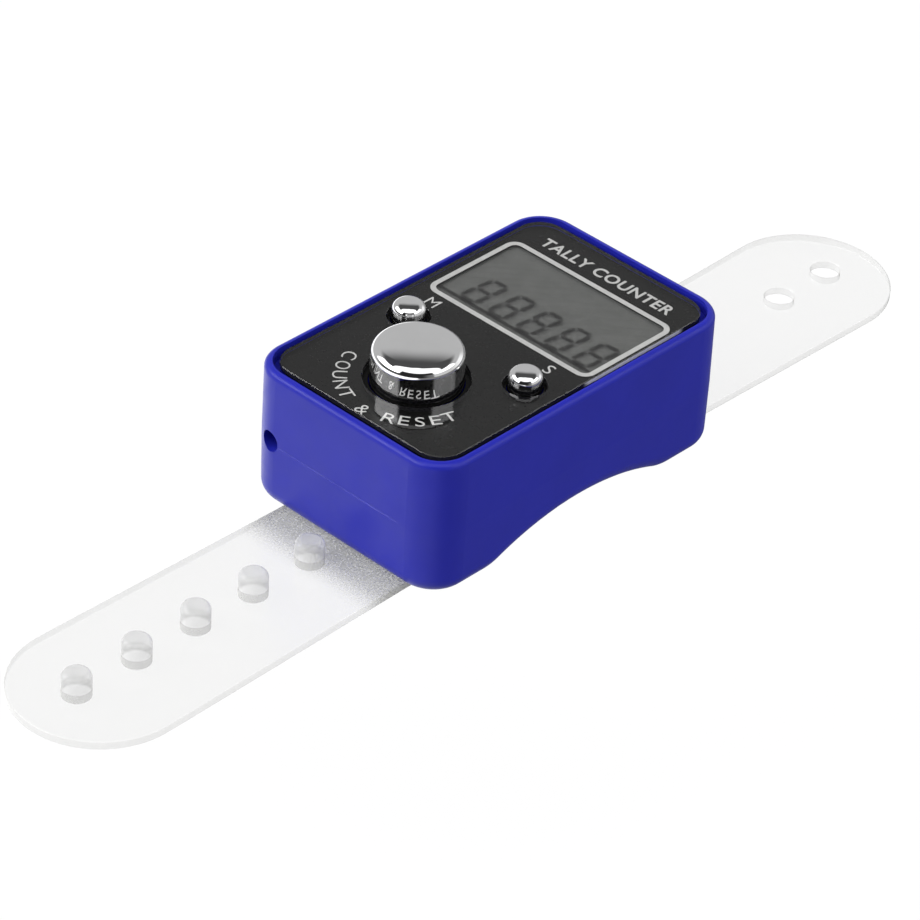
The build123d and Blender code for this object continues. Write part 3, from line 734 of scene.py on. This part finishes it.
def strap_piece(name, y0, y1, tip, pegs, holes, zones, lifted, stand_in, finish="strap_clear"):
    o = plate(name, y0, y1, tip)
    for y in pegs:
        cut_or_add(o, peg(y), "UNION")
    for y in holes:
        rim = 0.12
        profile = [(0.0, -0.2), (1.6 + rim, -0.2), (1.6 + rim, 0.0)] + [(1.6, rim), (1.6, T - rim), (1.6 + rim, T), (1.6 + rim, T + 0.2), (0.0, T + 0.2)]
        cut_or_add(o, lathe("hole", profile, 0.0, y, "strap_clear", seg=64), "DIFFERENCE")
    bm = bmesh.new()
    bm.from_mesh(o.data)
    for a, b, gap in zones:
        k = max(2, int(abs(b - a) / gap))
        for i in range(k + 1):
            y = a + (b - a) * i / k
            bmesh.ops.bisect_plane(bm, geom=bm.verts[:] + bm.edges[:] + bm.faces[:], dist=1e-8, plane_co=(0, y * MM, 0), plane_no=(0, 1, 0))
    if lifted:
        for v in bm.verts:
            v.co.z += ramp(v.co.y / MM) * MM
    bmesh.ops.recalc_face_normals(bm, faces=bm.faces)
    bm.to_mesh(o.data)
    bm.free()
    dress(o, finish, math.radians(35))
    o.data.materials.append(mats["strap_join"])
    cuts = (y0,) if tip is not None else (y0, y1)
    for p in o.data.polygons:
        if abs(p.normal.y) > 0.999 and any(abs(p.center.y / MM - c) < 0.02 for c in cuts):
            p.material_index = 1
    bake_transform(o)
    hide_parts(*stand_in)
    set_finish(o, "strap_clear")
    return o


PEGS = [-23.5 - 7.55 * i for i in range(5)]
HOLES = [46.25, 53.8]
b1, b2, c1, c2 = BEND["peg_1"], BEND["peg_2"], BEND["hole_1"], BEND["hole_2"]
strap_piece("strap_saddle_peg_side", YB, -19.0, None, [], [], [(YB - 2.5, YB - 11.5, 0.6), (b1 + 2.2, b1 - 2.2, 0.3)], True,
            ["strap_centre"], "strap_saddle_clear")
strap_piece("strap_saddle_hole_side", YB, 20.9, None, [], [], [(YB + 2.5, YB + 11.5, 0.6), (c1 - 2.2, c1 + 2.2, 0.3)], True,
            ["strap_hole_inner"])
strap_piece("strap_peg_end", -19.0, peg_tip, peg_tip, PEGS, [], [(-33.6, -38.0, 0.22)], False,
            ["strap_peg_inner", "strap_peg_outer"], "strap_peg_clear")
strap_piece("strap_hole_end", 20.9, hole_tip, hole_tip, [], HOLES, [(c2 - 2.9, c2 + 2.9, 0.3)], False,
            ["strap_hole_outer"])


# ---------------------------------------------------------------- floor, light, camera
def floor_piece():
    """A plain white floor. It lies below the reach of the strap's ends, so they stay in sight when they bend down."""
    mesh = bpy.data.meshes.new("floor")
    s, z = 3.0, -0.052
    mesh.from_pydata([(-s, -s, z), (s, -s, z), (s, s, z), (-s, s, z)], [], [(0, 1, 2, 3)])
    o = bpy.data.objects.new("floor", mesh)
    bpy.context.scene.collection.objects.link(o)
    m = bpy.data.materials.new("floor_white")
    m.use_nodes = True
    g = Graph(m.node_tree)
    matt = g.node("ShaderNodeBsdfDiffuse")
    matt.inputs["Color"].default_value = (0.10, 0.10, 0.10, 1)
    glow = g.node("ShaderNodeEmission")
    glow.inputs["Color"].default_value = (1, 1, 1, 1)
    rays = g.node("ShaderNodeLightPath")
    seen = g.math("MULTIPLY", rays.outputs["Is Camera Ray"], 0.66)
    spot = g.axes(g.coords())
    left = g.step(g.math("ADD", spot[0], spot[1]), -60.0 * MM, 60.0 * MM, 1.15, -0.12)
    mirrored = g.math("MULTIPLY", rays.outputs["Is Glossy Ray"], left)
    g.put(glow.inputs["Strength"], g.math("ADD", g.math("ADD", seen, mirrored), 0.25))
    add = g.node("ShaderNodeAddShader")
    g.put(add.inputs[0], matt.outputs[0])
    g.put(add.inputs[1], glow.outputs[0])
    g.out(add.outputs[0])
    mesh.materials.append(m)


floor_piece()

AZ, EL, ROLL = math.radians(42.041), math.radians(35.722), math.radians(3.448)
back = Vector((math.sin(AZ) * math.cos(EL), -math.cos(AZ) * math.cos(EL), math.sin(EL)))
right0 = Vector((math.cos(AZ), math.sin(AZ), 0))
up0 = back.cross(right0)
right = math.cos(ROLL) * right0 + math.sin(ROLL) * up0
up = -math.sin(ROLL) * right0 + math.cos(ROLL) * up0
camera_data = bpy.data.cameras.new("camera")
camera_data.sensor_width = 36.0
camera_data.lens = 4500.0 * 36.0 / 920.0
camera_data.clip_start, camera_data.clip_end = 0.01, 10.0
camera = bpy.data.objects.new("camera", camera_data)
place = Vector((0, 1.3, 16.3)) - 3.402 * right - 12.256 * up + 441.3 * back
m = Matrix((right, up, back)).transposed().to_4x4()
m.translation = place * MM
camera.matrix_world = m
bpy.context.scene.collection.objects.link(camera)
bpy.context.scene.camera = camera


def studio():
    """Soft boxes left and right of the camera, one over it, a pale far side and a dim ceiling."""
    world = bpy.data.worlds.new("studio")
    bpy.context.scene.world = world
    world.use_nodes = True
    g = Graph(world.node_tree)
    coord = g.node("ShaderNodeTexCoord")
    x, y, z = g.axes(coord.outputs["Generated"])
    ca, sa = math.cos(AZ), math.sin(AZ)
    toward = g.math("ADD", g.math("MULTIPLY", x, sa), g.math("MULTIPLY", y, -ca))
    across = g.math("ADD", g.math("MULTIPLY", x, ca), g.math("MULTIPLY", y, sa))
    az = g.math("MULTIPLY", g.math("ARCTAN2", across, toward), 57.29578)
    el = g.math("MULTIPLY", g.math("ARCSINE", z), 57.29578)
    away = g.math("ABSOLUTE", az)

    def box(a0, a1, e0, e1, soft_a, soft_e, strength):
        shape = g.math("MULTIPLY", g.band(az, a0, a1, soft_a), g.band(el, e0, e1, soft_e))
        return g.math("MULTIPLY", shape, strength)

    # the ceiling box reaches down on the camera's side only
    edge = g.step(away, 60.0, 112.0, 41.0, 85.0)
    above = g.math("SUBTRACT", el, edge)
    total = g.step(above, -2.0, 2.0, 0.08, 1.5)
    far = g.math("MULTIPLY", g.step(away, 80.0, 120.0), g.step(el, 37.0, 50.0, 0.46, 0.0))
    total = g.math("ADD", total, far)
    total = g.math("ADD", total, box(-113, -42, 18, 43, 5, 4, 4.7))
    total = g.math("ADD", total, box(42, 104, 24, 42, 5, 3, 2.3))
    total = g.math("ADD", total, box(24, 134, -6, 24, 12, 4, 0.60))
    dark = g.math("MULTIPLY", g.step(away, 36.0, 44.0, 1.0, 0.0), g.step(el, 33.0, 39.0, 1.0, 0.0))
    total = g.math("MULTIPLY", total, g.step(dark, 0.0, 1.0, 1.0, 0.3))
    bg = g.node("ShaderNodeBackground")
    bg.inputs["Color"].default_value = (1, 1, 1, 1)
    g.put(bg.inputs["Strength"], total)
    out = g.node("ShaderNodeOutputWorld")
    g.put(out.inputs["Surface"], bg.outputs[0])


studio()
scene = bpy.context.scene
scene.view_settings.view_transform = "Standard"
scene.view_settings.look = "None"
